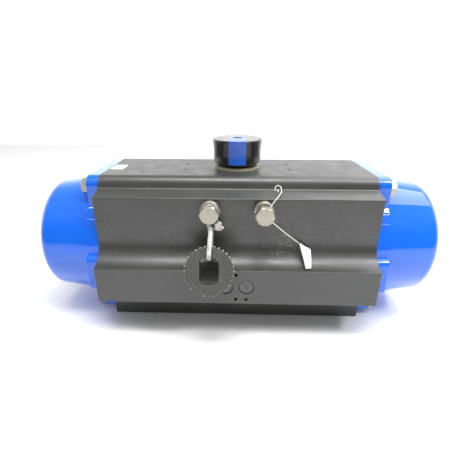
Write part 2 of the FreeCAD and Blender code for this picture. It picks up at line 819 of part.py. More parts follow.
def spring_set(side, placement):
    """The springs between the piston's pockets and the seat in the end cap, on the -X side."""
    clearance = size.spring_wire_radius + 0.3
    near = size.piston_outer_face - 14 + clearance
    far = size.spring_seat_face - clearance
    coil = coil_spring(far - near, 6)
    springs = []
    for y, rise in spring_places():
        one = coil.copy()
        one.Placement = FreeCAD.Placement(V(-far, y, size.bore_height + rise), ALONG["x"])
        springs.append(one)
    finished(formed(f"spring_set_{side}_coils", Part.makeCompound(springs)), f"spring_set_{side}", placement)
    plate = cylinder(f"spring_seat_{side}_plate", 59, 4, ("-spring_seat_face - 4.1", 0, "bore_height"), "x")
    bosses = []
    for index, (y, rise) in enumerate(spring_places()):
        at = ("-spring_seat_face - 1", y, f"bore_height + ({rise:.4f})")
        bosses.append(cylinder(f"spring_seat_{side}_boss_{index}", 11, 7, at, "x"))
    seat = fuse(f"spring_seat_{side}_solid", plate, *bosses)
    finished(seat, f"spring_seat_{side}", placement)


# --------------------------------------------------------------- travel stops


def stop_bolt(side, sign, head_back, turn):
    """A travel-stop bolt: hexagon head, threaded shank and a plain tip at the cam."""
    x = f"{sign} * stop_offset"
    z = "stop_height"
    tip = cylinder(f"StopTip_{side}", 4.5, 5, (x, "-stop_tip - 5", z), "y")
    shank = cylinder(f"StopShank_{side}", "stop_thread_radius", f"{head_back} - stop_tip - 3",
                     (x, f"-{head_back} - 1", z), "y")
    head = hexagon_head(f"StopHead_{side}", "stop_head_flats", "stop_head_height",
                        (x, f"-{head_back} - stop_head_height", z), "y", "start", turn)
    finished(fuse(f"StopBolt_{side}", tip, shank, head), f"stop_bolt_{side}")


def stop_seat(side, sign):
    """The lock nut and the sealing washer under it."""
    x = f"{sign} * stop_offset"
    z = "stop_height"
    hole = "stop_thread_radius + 0.1"
    nut_height = "stop_nut_front - shoulder_reach - 1.6"
    nut = tube(f"StopNut_{side}", 11, hole, nut_height, (x, "-stop_nut_front", z), "y")
    nut = rounded(f"StopNutRounded_{side}", nut, 1.3, lambda edge: nut_rim(edge))
    finished(nut, f"stop_nut_{side}")
    washer = tube(f"StopWasher_{side}", 10.2, hole, 1.5, (x, "-shoulder_reach - 1.55", z), "y")
    finished(washer, f"stop_washer_{side}")


def nut_rim(edge):
    bounds = edge.BoundBox
    return abs(bounds.YMax + size.stop_nut_front) < 0.01 and bounds.XLength > 20


# ---------------------------------------------------------- plugs and label


def port_plug(label, side):
    at = (f"{side} * port_spacing / 2", "-pad_reach + 0.9", "port_height")
    head = cylinder(label + "_head", 8.4, 2.4, at, "y")
    head = rounded(label + "_head_rounded", head, 0.8, lambda edge: plug_rim(edge))
    thread_at = (f"{side} * port_spacing / 2", "-pad_reach + 3.2", "port_height")
    thread = cylinder(label + "_thread", 6.5, 10, thread_at, "y")
    slot = formed(label + "_slot", Part.makeBox(9, 1.8, 1.5, V(-4.5, -0.9, -0.75)))
    middle = V(side * size.port_spacing / 2, 1 - size.pad_reach, size.port_height)
    slot.Placement = FreeCAD.Placement(middle, FreeCAD.Rotation(V(0, 1, 0), 60))
    return finished(cut(label + "_plug", fuse(label + "_solid", head, thread), slot), label)


def plug_rim(edge):
    bounds = edge.BoundBox
    return bounds.YLength < 0.01 and bounds.YMax < -size.pad_reach + 1 and bounds.XLength > 16


def blank_label():
    finished(box("BlankLabel", 16, 24, 0.2, (-149.5, -6.8, "body_height + 0.12")), "blank_label")


# ------------------------------------- drive insert hung from the left stop


def insert_frame():
    """Places the insert's own axis, +Z out of its front face, leaning against the pad's edge."""
    turn = FreeCAD.Rotation(V(1, 0, 0), 90 - size.insert_lean)
    return FreeCAD.Placement(V(-29, -116.5, 101.4), turn)


def drive_insert():
    """A toothed ring with a double-D bore."""
    ring = polygon_prism(star_points(round(size.insert_teeth), size.insert_radius, size.insert_root_radius),
                         size.insert_length)
    ring.translate(V(0, 0, -size.insert_length))
    round_bore = Part.makeCylinder(size.insert_bore_radius, 60, V(0, 0, -30))
    flats = Part.makeBox(size.insert_flats, 60, 60, V(-size.insert_flats / 2, -30, -30))
    solid = ring.cut(round_bore.common(flats))
    item = formed("DriveInsertRing", solid)
    finished(item, "drive_insert", insert_frame())


def beside_insert(x, rise, ahead):
    """A point at a height over the insert's axis and a distance ahead of its front face."""
    spot = insert_frame().multVec(V(0, rise, ahead))
    return (x, spot.y, spot.z)


def strap_route():
    """Up from the lock, over the bolt, down in front of the insert, through it and up again."""
    behind_head = -88.0
    back = -size.insert_length - 3.8
    return [
        (-20.6, behind_head, 145.6),
        (-21.4, behind_head, 154.5),
        (-22.0, behind_head, 165.0),
        (-37.1, behind_head, 165.0),
        (-36.9, behind_head, 151.5),
        (-28.0, behind_head - 2.5, 141.5),
        beside_insert(-28.4, 29.0, 3.0),
        beside_insert(-29.3, 11.3, 4.0),
        beside_insert(-29.0, 10.7, back),
        beside_insert(-28.4, 30.0, back),
        (-27.8, behind_head + 0.6, 131.0),
        (-26.6, behind_head + 0.4, 138.0),
        (-21.2, behind_head, 141.0),
    ]


def cable_tie():
    strap = routed_tube("cable_tie", strap_route(), size.strap_radius)
    lock = Part.makeBox(7.4, 5.4, 9, V(-23.8, -90.9, 136.8))
    tail = Part.makeBox(3, 4, 1.3, V(-17, -90.2, 139.4))
    finished(formed("CableTieLoop", strap.fuse([lock, tail])), "cable_tie")


# --------------------------------------------- string and tag on the right stop

TAG_STRING_ROUTE = [
    (34.1, -89.5, 150.6),
    (43.3, -88.0, 142.3),
    (52.6, -86.2, 134.1),
    (61.9, -84.0, 126.1),
    (71.0, -81.3, 118.5),
]
STRING_TAIL_ROUTE = [
    (34.4, -89.2, 162.2),
    (38.6, -85.4, 167.6),
    (43.4, -80.6, 171.8),
    (47.2, -74.2, 174.3),
    (49.2, -68.4, 174.8),
    (49.2, -64.2, 175.6),
    (48.8, -62.3, 179.0),
    (45.3, -61.4, 180.4),
    (42.0, -62.6, 178.4),
    (42.4, -64.5, 175.0),
]


def tag_card():
    """A small paper card that leans on the shoulder under the string."""
    corners = [V(71.1, -81.5, 118.2), V(83.5, -83.5, 112.4), V(82.9, -98.6, 96.5), V(77, -98.4, 95.5)]
    level = (corners[1] - corners[0]).cross(corners[3] - corners[0]).normalize()
    flat = [corner - level * ((corner - corners[0]).dot(level)) for corner in corners]
    face = Part.Face(Part.makePolygon(flat + [flat[0]]))
    return face.extrude(level * 0.4)


def string_and_tag():
    loop_at = ("stop_offset", "-90", "stop_height")
    finished(torus("StringLoop", "stop_thread_radius + 0.9", "string_radius", loop_at, "y"), "string_loop")
    strands = (("tag_string", TAG_STRING_ROUTE), ("string_tail", STRING_TAIL_ROUTE))
    for label, route in strands:
        finished(formed(label + "_strand", routed_tube(label, route, size.string_radius)), label)
    finished(formed("TagCard", tag_card()), "inspection_tag")


# --------------------------------------------------------------------- build

housing()
for side_name, way, turned in (("right", 1, None), ("left", -1, HALF_TURN)):
    end_cap(f"end_cap_{side_name}", turned)
    cap_seal(side_name, way)
    cap_bolts(f"cap_bolts_{side_name}", turned)
pinion()
stop_cam()
pinion_small_parts()
indicator()
for side_name, way, turned in (("left", -1, None), ("right", 1, HALF_TURN)):
    piston(f"piston_{side_name}", turned)
    piston_small_parts(side_name, way, turned)
    spring_set(side_name, turned)
stop_bolt("left", -1, "left_head_back", 0)
stop_bolt("right", 1, "right_head_back", 8)
stop_seat("left", -1)
stop_seat("right", 1)
port_plug("port_plug_a", -1)
port_plug("port_plug_b", 1)
blank_label()
drive_insert()
cable_tie()
string_and_tag()

# -------------------------------------------------------------- check, write

doc.recompute()
failed = [item.Name for item in doc.Objects if {"Invalid", "Error"} & set(item.State)]
for item in sub_parts:
    if item.Shape.isNull() or not item.Shape.isValid():
        failed.append(item.Label)
if failed:
    raise RuntimeError(f"not built: {failed}")
for item in sub_parts:
    item.Shape.exportStep(f"parts/{item.Label}.step")
print(len(sub_parts), "sub-parts written")
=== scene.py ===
import json
import math

import bmesh
import bpy
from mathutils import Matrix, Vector


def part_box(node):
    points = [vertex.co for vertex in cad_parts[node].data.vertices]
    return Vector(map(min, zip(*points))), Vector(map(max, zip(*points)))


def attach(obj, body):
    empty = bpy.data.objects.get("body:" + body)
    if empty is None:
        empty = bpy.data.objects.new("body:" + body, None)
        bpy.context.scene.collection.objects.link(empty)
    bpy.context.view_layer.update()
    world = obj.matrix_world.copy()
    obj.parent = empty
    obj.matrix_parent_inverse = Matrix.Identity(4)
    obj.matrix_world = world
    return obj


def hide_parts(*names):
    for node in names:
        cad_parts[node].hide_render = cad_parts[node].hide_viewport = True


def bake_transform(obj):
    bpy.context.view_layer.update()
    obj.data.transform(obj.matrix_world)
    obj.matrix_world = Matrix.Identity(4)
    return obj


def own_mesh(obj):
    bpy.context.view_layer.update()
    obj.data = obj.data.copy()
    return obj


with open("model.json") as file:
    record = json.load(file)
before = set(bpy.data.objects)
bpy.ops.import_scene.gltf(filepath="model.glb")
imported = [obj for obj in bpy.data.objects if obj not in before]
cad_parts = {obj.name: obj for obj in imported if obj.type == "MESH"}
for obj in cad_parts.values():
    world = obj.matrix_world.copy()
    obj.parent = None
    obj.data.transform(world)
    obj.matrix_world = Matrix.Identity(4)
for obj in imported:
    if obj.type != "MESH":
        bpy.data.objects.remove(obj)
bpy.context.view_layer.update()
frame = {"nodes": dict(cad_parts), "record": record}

# Everything is in metres, in the model's own frame: +Z up along the drive axis, +X along the
# housing, -Y the side with the travel stops and the air ports.

# ------------------------------------------------------------------- camera

lens = bpy.data.cameras.new("main_camera")
lens.lens = 26.288
lens.sensor_width = 36
camera = bpy.data.objects.new("main_camera", lens)
camera.location = (-0.00283, -0.41732, 0.28149)
camera.rotation_euler = (math.radians(67.17), 0, math.radians(1.712))
bpy.context.scene.collection.objects.link(camera)
bpy.context.scene.camera = camera

# -------------------------------------------------------------------- cords

STRING_DIAMETER = 0.001

TAG_STRING_ROUTE = [
    (0.0341, -0.0895, 0.1506),
    (0.0433, -0.0880, 0.1423),
    (0.0526, -0.0862, 0.1341),
    (0.0619, -0.0840, 0.1261),
    (0.0710, -0.0813, 0.1185),
]
STRING_TAIL_ROUTE = [
    (0.0344, -0.0892, 0.1622),
    (0.0386, -0.0854, 0.1676),
    (0.0434, -0.0806, 0.1718),
    (0.0472, -0.0742, 0.1743),
    (0.0492, -0.0684, 0.1748),
    (0.0492, -0.0642, 0.1756),
    (0.0488, -0.0623, 0.1790),
    (0.0453, -0.0614, 0.1804),
    (0.0420, -0.0626, 0.1784),
    (0.0424, -0.0645, 0.1750),
]


def string_curve(name, route):
    """A round string whose centreline is one smooth spline along the route."""
    curve = bpy.data.curves.new(name, "CURVE")
    curve.dimensions = "3D"
    curve.bevel_depth = STRING_DIAMETER / 2
    curve.bevel_resolution = 3
    curve.resolution_u = 12
    curve.use_fill_caps = True
    spline = curve.splines.new("NURBS")
    spline.points.add(len(route) - 1)
    for point, place in zip(spline.points, route):
        point.co = (*place, 1)
    spline.order_u = 3
    spline.use_endpoint_u = True
    piece = bpy.data.objects.new(name, curve)
    bpy.context.scene.collection.objects.link(piece)
    return piece


tag_string = string_curve("tag_string_strand", TAG_STRING_ROUTE)
string_tail = string_curve("string_tail_strand", STRING_TAIL_ROUTE)

# ------------------------------------------------------------- node helpers


class Shader:
    """A material's node tree and short ways to add to it. Places are object coordinates in metres."""

    def __init__(self, name):
        self.material = bpy.data.materials.new(name)
        self.material.use_nodes = True
        self.tree = self.material.node_tree
        self.surface = self.tree.nodes["Principled BSDF"]
        self.place = self.add("ShaderNodeTexCoord").outputs["Object"]

    def add(self, kind, inputs=None, **settings):
        node = self.tree.nodes.new(kind)
        for name, setting in settings.items():
            setattr(node, name, setting)
        for key, value in (inputs or {}).items():
            self.feed(node.inputs[key], value)
        return node

    def feed(self, socket, value):
        """Links another node's output, or sets a plain value."""
        if isinstance(value, bpy.types.NodeSocket):
            self.tree.links.new(value, socket)
        else:
            socket.default_value = value

    def math(self, operation, first, second=0.0, clamp=False):
        node = self.add("ShaderNodeMath", {0: first, 1: second}, operation=operation, use_clamp=clamp)
        return node.outputs[0]

    def vector_math(self, operation, first, second=(0, 0, 0)):
        return self.add("ShaderNodeVectorMath", {0: first, 1: second}, operation=operation)

    def stretched(self, factors, turn=(0, 0, 0)):
        node = self.add("ShaderNodeMapping", {"Vector": self.place, "Rotation": turn, "Scale": factors})
        return node.outputs[0]

    def noise(self, scale, detail=3.0, roughness=0.5, at=None):
        inputs = {"Vector": at or self.place, "Scale": scale, "Detail": detail, "Roughness": roughness}
        return self.add("ShaderNodeTexNoise", inputs).outputs["Fac"]

    def cells(self, scale):
        return self.add("ShaderNodeTexVoronoi", {"Vector": self.place, "Scale": scale}).outputs["Distance"]

    def ramp(self, value, low, high, to_low=0.0, to_high=1.0):
        """A smooth step from to_low, where value is low, to to_high, where it is high."""
        inputs = {"Value": value, "From Min": low, "From Max": high, "To Min": to_low, "To Max": to_high}
        return self.add("ShaderNodeMapRange", inputs, interpolation_type="SMOOTHSTEP").outputs[0]

    def mix(self, amount, first, second):
        node = self.add("ShaderNodeMix", data_type="RGBA")
        self.feed(node.inputs["Factor"], amount)
        self.feed(node.inputs["A"], colour(first))
        self.feed(node.inputs["B"], colour(second))
        return node.outputs["Result"]

    def rounded_normal(self, radius):
        return self.add("ShaderNodeBevel", {"Radius": radius}, samples=6).outputs[0]

    def edges(self, radius, low=0.02, high=0.25):
        """One near a sharp edge, nothing on a smooth face."""
        face = self.add("ShaderNodeNewGeometry").outputs["Normal"]
        level = self.vector_math("DOT_PRODUCT", self.rounded_normal(radius), face).outputs["Value"]
        return self.ramp(self.math("SUBTRACT", 1.0, level), low, high)

    def bump(self, height, depth, under=None):
        inputs = {"Height": height, "Distance": depth, "Strength": 1.0}
        if under is not None:
            inputs["Normal"] = under
        return self.add("ShaderNodeBump", inputs).outputs[0]

    def near(self, centre, radius):
        """One at a point, fading out to nothing at the radius."""
        away = self.vector_math("DISTANCE", self.place, centre).outputs["Value"]
        return self.ramp(away, radius, 0.25 * radius)

    def finish(self, base, roughness, normal=None, **constants):
        """Sets the surface; constants go straight on the shader's own sockets."""
        self.feed(self.surface.inputs["Base Color"], colour(base))
        self.feed(self.surface.inputs["Roughness"], roughness)
        if normal is not None:
            self.feed(self.surface.inputs["Normal"], normal)
        for name, value in constants.items():
            self.feed(self.surface.inputs[name.replace("_", " ")], value)
        return self.material


def colour(value):
    return (*value, 1.0) if isinstance(value, tuple) and len(value) == 3 else value


# ---------------------------------------------------------------- materials

INSERT_LEAN = math.radians(25)
INSERT_RADIUS = 0.027
INSERT_BORE_RADIUS = 0.015


def housing_finish():
    """Hard anodised extrusion: fine lines along X, worn ridges, specks of dust and scuffs."""
    s = Shader("housing_anodised")
    lines = s.noise(1.0, 4, 0.6, s.stretched((6, 1400, 1400)))
    clouds = s.noise(14, 4, 0.6)
    grain = s.noise(1800, 2)
    base = s.mix(s.ramp(clouds, 0.3, 0.7), (0.028, 0.030, 0.027), (0.037, 0.039, 0.036))
    base = s.mix(s.math("MULTIPLY", s.ramp(lines, 0.35, 0.75), 0.35), base, (0.055, 0.057, 0.053))

    dust = s.ramp(s.cells(420), 0.14, 0.07)
    dust = s.math("MULTIPLY", dust, s.ramp(s.noise(70, 2), 0.60, 0.70))
    right_patch = s.near((0.075, -0.088, 0.125), 0.055)
    left_patch = s.near((-0.075, -0.084, 0.125), 0.03)
    dirty = s.math("MAXIMUM", right_patch, left_patch)
    fine_dust = s.ramp(s.cells(900), 0.2, 0.1)
    fine_dust = s.math("MULTIPLY", fine_dust, s.ramp(s.noise(160, 2), 0.5, 0.6))
    specks = s.math("MAXIMUM", dust, s.math("MULTIPLY", fine_dust, dirty))

    slant = s.noise(1.0, 2, 0.5, s.stretched((2600, 60, 90), (0, 0.9, 0.5)))
    scratches = s.math("MULTIPLY", s.ramp(slant, 0.70, 0.74), s.ramp(s.noise(26, 3), 0.55, 0.68))
    scuffed_patch = s.near((0.052, -0.085, 0.115), 0.03)
    scuffed = s.math("MULTIPLY", s.ramp(s.noise(240, 4, 0.7), 0.55, 0.7), scuffed_patch)
    scuffed = s.math("MULTIPLY", scuffed, 0.5)

    worn = s.math("MULTIPLY", s.edges(0.0007, 0.03, 0.3), s.ramp(s.noise(90, 4, 0.7), 0.35, 0.6, 0.35, 1.0))
    marks = s.math("MAXIMUM", s.math("MULTIPLY", scratches, 0.6), scuffed)
    base = s.mix(s.math("MULTIPLY", worn, 0.75), base, (0.42, 0.42, 0.41))
    base = s.mix(marks, base, (0.34, 0.34, 0.33))
    base = s.mix(s.math("MULTIPLY", specks, 0.85), base, (0.72, 0.72, 0.70))

    rough = s.ramp(s.noise(60, 4, 0.6), 0.3, 0.7, 0.34, 0.44)
    rough = s.math("ADD", rough, s.math("MULTIPLY", specks, 0.3))
    relief = s.bump(grain, 0.00001, s.bump(lines, 0.00002, s.rounded_normal(0.0006)))
    relief = s.bump(specks, 0.0001, relief)
    return s.finish(base, rough, relief, Specular_IOR_Level=0.85)


def cap_finish():
    """Thick gloss paint with a trace of orange peel, thin and chipped on its edges."""
    s = Shader("cap_gloss_paint")
    peel = s.noise(230, 2, 0.4)
    clouds = s.noise(16, 3)
    base = s.mix(s.ramp(clouds, 0.3, 0.7), (0.004, 0.125, 0.74), (0.005, 0.145, 0.80))
    edge = s.edges(0.0008, 0.03, 0.35)
    chips = s.math("MULTIPLY", edge, s.ramp(s.noise(330, 3, 0.6), 0.58, 0.66))
    spots = s.math("MULTIPLY", s.ramp(s.cells(260), 0.1, 0.05), s.ramp(s.noise(40, 2), 0.6, 0.68))
    bare = s.math("MAXIMUM", chips, s.math("MULTIPLY", spots, 0.7))
    base = s.mix(s.math("MULTIPLY", edge, 0.25), base, (0.07, 0.22, 0.80))
    base = s.mix(bare, base, (0.55, 0.60, 0.70))
    rough = s.ramp(s.noise(50, 3), 0.3, 0.7, 0.035, 0.05)
    rough = s.math("ADD", rough, s.math("MULTIPLY", bare, 0.35))
    relief = s.bump(peel, 0.000008, s.rounded_normal(0.0008))
    relief = s.bump(s.math("SUBTRACT", 1.0, bare), 0.00008, relief)
    return s.finish(base, rough, relief, Specular_IOR_Level=0.5, Coat_Weight=0.55, Coat_Roughness=0.03)


def stainless_finish():
    """Forged and turned stainless: slightly warm, mottled, with lighter rubbed edges."""
    s = Shader("stainless_steel")
    mottle = s.noise(520, 4, 0.7)
    broad = s.noise(90, 3)
    base = s.mix(s.ramp(mottle, 0.3, 0.7), (0.35, 0.325, 0.27), (0.48, 0.455, 0.39))
    base = s.mix(s.math("MULTIPLY", s.ramp(broad, 0.5, 0.75), 0.35), base, (0.26, 0.24, 0.20))
    base = s.mix(s.math("MULTIPLY", s.edges(0.0005), 0.6), base, (0.60, 0.59, 0.56))
    rough = s.ramp(mottle, 0.25, 0.75, 0.30, 0.46)
    relief = s.bump(mottle, 0.00004, s.rounded_normal(0.0004))
    return s.finish(base, rough, relief, Metallic=0.9)


def black_gloss_finish():
    s = Shader("indicator_black")
    haze = s.noise(120, 3)
    fine = s.noise(2200, 2)
    base = s.mix(s.ramp(haze, 0.35, 0.7), (0.006, 0.006, 0.006), (0.012, 0.012, 0.011))
    rubbed = s.math("MULTIPLY", s.edges(0.0006), s.ramp(s.noise(300, 3), 0.45, 0.65))
    base = s.mix(s.math("MULTIPLY", rubbed, 0.4), base, (0.10, 0.10, 0.10))
    rough = s.ramp(haze, 0.3, 0.7, 0.14, 0.24)
    relief = s.bump(fine, 0.000006, s.rounded_normal(0.0006))
    return s.finish(base, rough, relief, Specular_IOR_Level=0.5)


def blue_gloss_finish():
    s = Shader("indicator_blue")
    haze = s.noise(110, 3)
    base = s.mix(s.ramp(haze, 0.3, 0.7), (0.016, 0.085, 0.45), (0.020, 0.100, 0.50))
    base = s.mix(s.math("MULTIPLY", s.edges(0.0005), 0.35), base, (0.16, 0.30, 0.70))
    rough = s.ramp(haze, 0.3, 0.7, 0.16, 0.26)
    relief = s.bump(s.noise(1500, 2), 0.000008, s.rounded_normal(0.0004))
    return s.finish(base, rough, relief, Specular_IOR_Level=0.5)


def acetal_finish():
    s = Shader("cream_acetal")
    stain = s.noise(60, 4, 0.6)
    base = s.mix(s.ramp(stain, 0.35, 0.7), (0.62, 0.57, 0.42), (0.42, 0.37, 0.25))
    base = s.mix(s.math("MULTIPLY", s.edges(0.0005), 0.5), base, (0.74, 0.70, 0.56))
    relief = s.bump(s.noise(900, 3), 0.00002, s.rounded_normal(0.0004))
    return s.finish(base, s.ramp(stain, 0.3, 0.7, 0.35, 0.5), relief, Subsurface_Weight=0.05)


def insert_finish():
    """Dark sintered alloy, speckled, with a painted highlight on the tooth crests that is partly rubbed
    metal.
    """
    s = Shader("insert_alloy")
    speckle = s.noise(700, 4, 0.7)
    grit = s.cells(650)
    base = s.mix(s.ramp(speckle, 0.35, 0.68), (0.068, 0.068, 0.063), (0.138, 0.138, 0.130))
    base = s.mix(s.math("MULTIPLY", s.ramp(grit, 0.22, 0.1), 0.5), base, (0.22, 0.215, 0.20))
    low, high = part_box("drive_insert")
    middle = (Vector(low) + Vector(high)) / 2
    lean = Vector((0, -math.cos(INSERT_LEAN), math.sin(INSERT_LEAN)))
    from_centre = s.vector_math("SUBTRACT", s.place, tuple(middle)).outputs[0]
    across = s.vector_math("CROSS_PRODUCT", from_centre, tuple(lean)).outputs[0]
    reach = s.vector_math("LENGTH", across).outputs["Value"]
    # Painted highlight: the crests of the teeth are painted near white, broken up by noise, and only partly
    # rubbed metal.
    tooth_crest_highlight = s.ramp(reach, INSERT_RADIUS - 0.0011, INSERT_RADIUS - 0.0003)
    rubbed = s.math("MULTIPLY", tooth_crest_highlight, s.ramp(s.noise(260, 3), 0.38, 0.6, 0.25, 1.0))
    edge = s.math("MULTIPLY", s.edges(0.0005), s.ramp(s.noise(220, 3), 0.4, 0.6, 0.3, 1.0))
    inside = s.ramp(reach, INSERT_BORE_RADIUS + 0.0015, INSERT_BORE_RADIUS - 0.001)
    base = s.mix(s.math("MULTIPLY", edge, 0.4), base, (0.34, 0.335, 0.31))
    base = s.mix(s.math("MULTIPLY", inside, s.math("MULTIPLY", edge, 0.8)), base, (0.42, 0.36, 0.27))
    # The painted highlight on the tooth crests goes on last.
    base = s.mix(rubbed, base, (0.86, 0.86, 0.83))
    rough = s.ramp(speckle, 0.3, 0.7, 0.42, 0.58)
    relief = s.bump(speckle, 0.00009, s.rounded_normal(0.0004))
    return s.finish(base, rough, relief, Metallic=0.35)


def nylon_finish():
    s = Shader("natural_nylon")
    haze = s.noise(300, 3)
    base = s.mix(s.ramp(haze, 0.3, 0.7), (0.42, 0.42, 0.40), (0.70, 0.70, 0.66))
    relief = s.bump(s.noise(1500, 2), 0.00002)
    rough = s.ramp(haze, 0.3, 0.7, 0.32, 0.45)
    return s.finish(base, rough, relief, Subsurface_Weight=0.25, Subsurface_Scale=0.002)


def plug_finish():
    """Dark grey nylon, scuffed grey where it stands proud."""
    s = Shader("plug_grey")
    scuff = s.noise(420, 4, 0.7)
    base = s.mix(s.ramp(scuff, 0.4, 0.7), (0.085, 0.088, 0.084), (0.16, 0.165, 0.16))
    base = s.mix(s.math("MULTIPLY", s.edges(0.0006), 0.7), base, (0.30, 0.30, 0.29))
    relief = s.bump(scuff, 0.00006, s.rounded_normal(0.0005))
    return s.finish(base, s.ramp(scuff, 0.3, 0.7, 0.40, 0.6), relief)


def paper_finish():
    s = Shader("white_paper")
    fibre = s.noise(1.0, 3, 0.6, s.stretched((1200, 500, 2200)))
    tone = s.noise(150, 3)
    base = s.mix(s.ramp(tone, 0.35, 0.7), (0.90, 0.90, 0.89), (0.82, 0.82, 0.80))
    return s.finish(base, s.ramp(fibre, 0.3, 0.7, 0.62, 0.78), s.bump(fibre, 0.00003))


def string_finish():
    s = Shader("cotton_string")
    twist = s.noise(1.0, 2, 0.5, s.stretched((1700, 1700, 500), (0.5, 0.6, 0)))
    base = s.mix(s.ramp(twist, 0.35, 0.65), (0.66, 0.65, 0.61), (0.90, 0.90, 0.87))
    return s.finish(base, s.ramp(twist, 0.3, 0.7, 0.75, 0.95), s.bump(twist, 0.00015), Sheen_Weight=0.2)


def rubber_finish():
    s = Shader("nitrile_rubber")
    bloom = s.noise(350, 4, 0.6)
    base = s.mix(s.ramp(bloom, 0.4, 0.75), (0.014, 0.014, 0.014), (0.040, 0.040, 0.038))
    return s.finish(base, s.ramp(bloom, 0.3, 0.7, 0.55, 0.75), s.bump(bloom, 0.00004))


def turned_steel_finish():
    """Plated steel with fine turning rings about the drive axis and wear on its edges."""
    s = Shader("turned_steel")
    rings = s.noise(1.0, 3, 0.6, s.stretched((60, 60, 2600)))
    cloud = s.noise(70, 3)
    base = s.mix(s.ramp(cloud, 0.3, 0.7), (0.36, 0.36, 0.37), (0.50, 0.50, 0.50))
    base = s.mix(s.math("MULTIPLY", s.edges(0.0005), 0.5), base, (0.75, 0.75, 0.74))
    relief = s.bump(rings, 0.00003, s.rounded_normal(0.0004))
    return s.finish(base, s.ramp(rings, 0.3, 0.7, 0.26, 0.40), relief, Metallic=1.0)


def cast_aluminium_finish():
    s = Shader("cast_aluminium")
    skin = s.noise(450, 4, 0.7)
    base = s.mix(s.ramp(skin, 0.35, 0.7), (0.44, 0.44, 0.45), (0.60, 0.60, 0.61))
    relief = s.bump(skin, 0.00012, s.rounded_normal(0.0006))
    return s.finish(base, s.ramp(skin, 0.3, 0.7, 0.42, 0.58), relief, Metallic=0.9)


def bearing_finish():
    s = Shader("bearing_polymer")
    flow = s.noise(220, 4, 0.6)
    base = s.mix(s.ramp(flow, 0.3, 0.7), (0.50, 0.47, 0.36), (0.60, 0.57, 0.46))
    return s.finish(base, s.ramp(flow, 0.3, 0.7, 0.4, 0.55), s.bump(flow, 0.00004, s.rounded_normal(0.0004)))


def spring_finish():
    s = Shader("coated_spring_steel")
    coat = s.noise(600, 3)
    base = s.mix(s.ramp(coat, 0.35, 0.7), (0.045, 0.045, 0.05), (0.085, 0.085, 0.09))
    return s.finish(base, s.ramp(coat, 0.3, 0.7, 0.30, 0.45), s.bump(coat, 0.00004), Metallic=0.4)


FINISHES = {
    "housing": housing_finish(),
    "cap_paint": cap_finish(),
    "black_plastic": black_gloss_finish(),
    "blue_plastic": blue_gloss_finish(),
    "acetal": acetal_finish(),
    "stainless": stainless_finish(),
    "steel": turned_steel_finish(),
    "piston_aluminium": cast_aluminium_finish(),
    "nitrile": rubber_finish(),
    "insert_alloy": insert_finish(),
    "nylon": nylon_finish(),
    "bearing_plastic": bearing_finish(),
    "string": string_finish(),
    "paper": paper_finish(),
    "spring_steel": spring_finish(),
    "plug_plastic": plug_finish(),
}

for entry in frame["record"]["subparts"]:
    for holder in frame["nodes"][entry["node"]].material_slots:
        holder.material = FINISHES[entry["material_slot"]]

# --------------------------------------------------------------- piece tools


def piece_from(name, mesh_data, slot_name, body, smooth=True):
    """Turns a bmesh into a piece with its finish, riding on a body if one is named."""
    bmesh.ops.recalc_face_normals(mesh_data, faces=mesh_data.faces)
    mesh = bpy.data.meshes.new(name)
    mesh_data.to_mesh(mesh)
    mesh_data.free()
    for face in mesh.polygons:
        face.use_smooth = smooth
    piece = bpy.data.objects.new(name, mesh)
    bpy.context.scene.collection.objects.link(piece)
    mesh.materials.append(FINISHES[slot_name])
    if body is not None:
        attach(piece, body)
    return piece


def swept(sections, closed_path):
    """A bmesh skin over a run of sections that each have the same number of corners."""
    skin = bmesh.new()
    rings = [[skin.verts.new(corner) for corner in section] for section in sections]
    count = len(rings)
    sides = len(rings[0])
    for step in range(count if closed_path else count - 1):
        here = rings[step]
        there = rings[(step + 1) % count]
        for side in range(sides):
            beside = (side + 1) % sides
            skin.faces.new((here[side], here[beside], there[beside], there[side]))
    if not closed_path:
        skin.faces.new(rings[0])
        skin.faces.new(list(reversed(rings[-1])))
    return skin


def smooth_loop(points, steps):
    """Points along a closed smooth curve that cuts inside each corner of the route."""
    points = [Vector(point) for point in points]
    count = len(points)
    curve = []
    for index in range(count):
        before = points[index - 1]
        here = points[index]
        after = points[(index + 1) % count]
        for step in range(steps):
            t = step / steps
            curve.append(0.5 * (1 - t) ** 2 * before + (0.5 + t * (1 - t)) * here + 0.5 * t * t * after)
    return curve


def smoothstep(low, high, value):
    t = min(max((value - low) / (high - low), 0.0), 1.0)
    return t * t * (3 - 2 * t)


# ------------------------------------------------------------ return springs

SPRING_PLACES = [(0, 1), (-1, 0), (0, -1), (1, 0)]
SPRING_CIRCLE_RADIUS = 0.035
SPRING_COIL_RADIUS = 0.016
SPRING_WIRE_RADIUS = 0.0022
SPRING_TURNS = 6
SPRING_AXIS_HEIGHT = 0.094


def round_sections(line, radius, sides):
    """Rings of points square to an open line."""
    rings = []
    for index, middle in enumerate(line):
        along = (line[min(index + 1, len(line) - 1)] - line[max(index - 1, 0)]).normalized()
        across = along.cross(Vector((1, 0, 0))).normalized()
        through = along.cross(across)
        angles = [2 * math.pi * side / sides for side in range(sides)]
        rings.append([middle + (across * math.cos(a) + through * math.sin(a)) * radius for a in angles])
    return rings


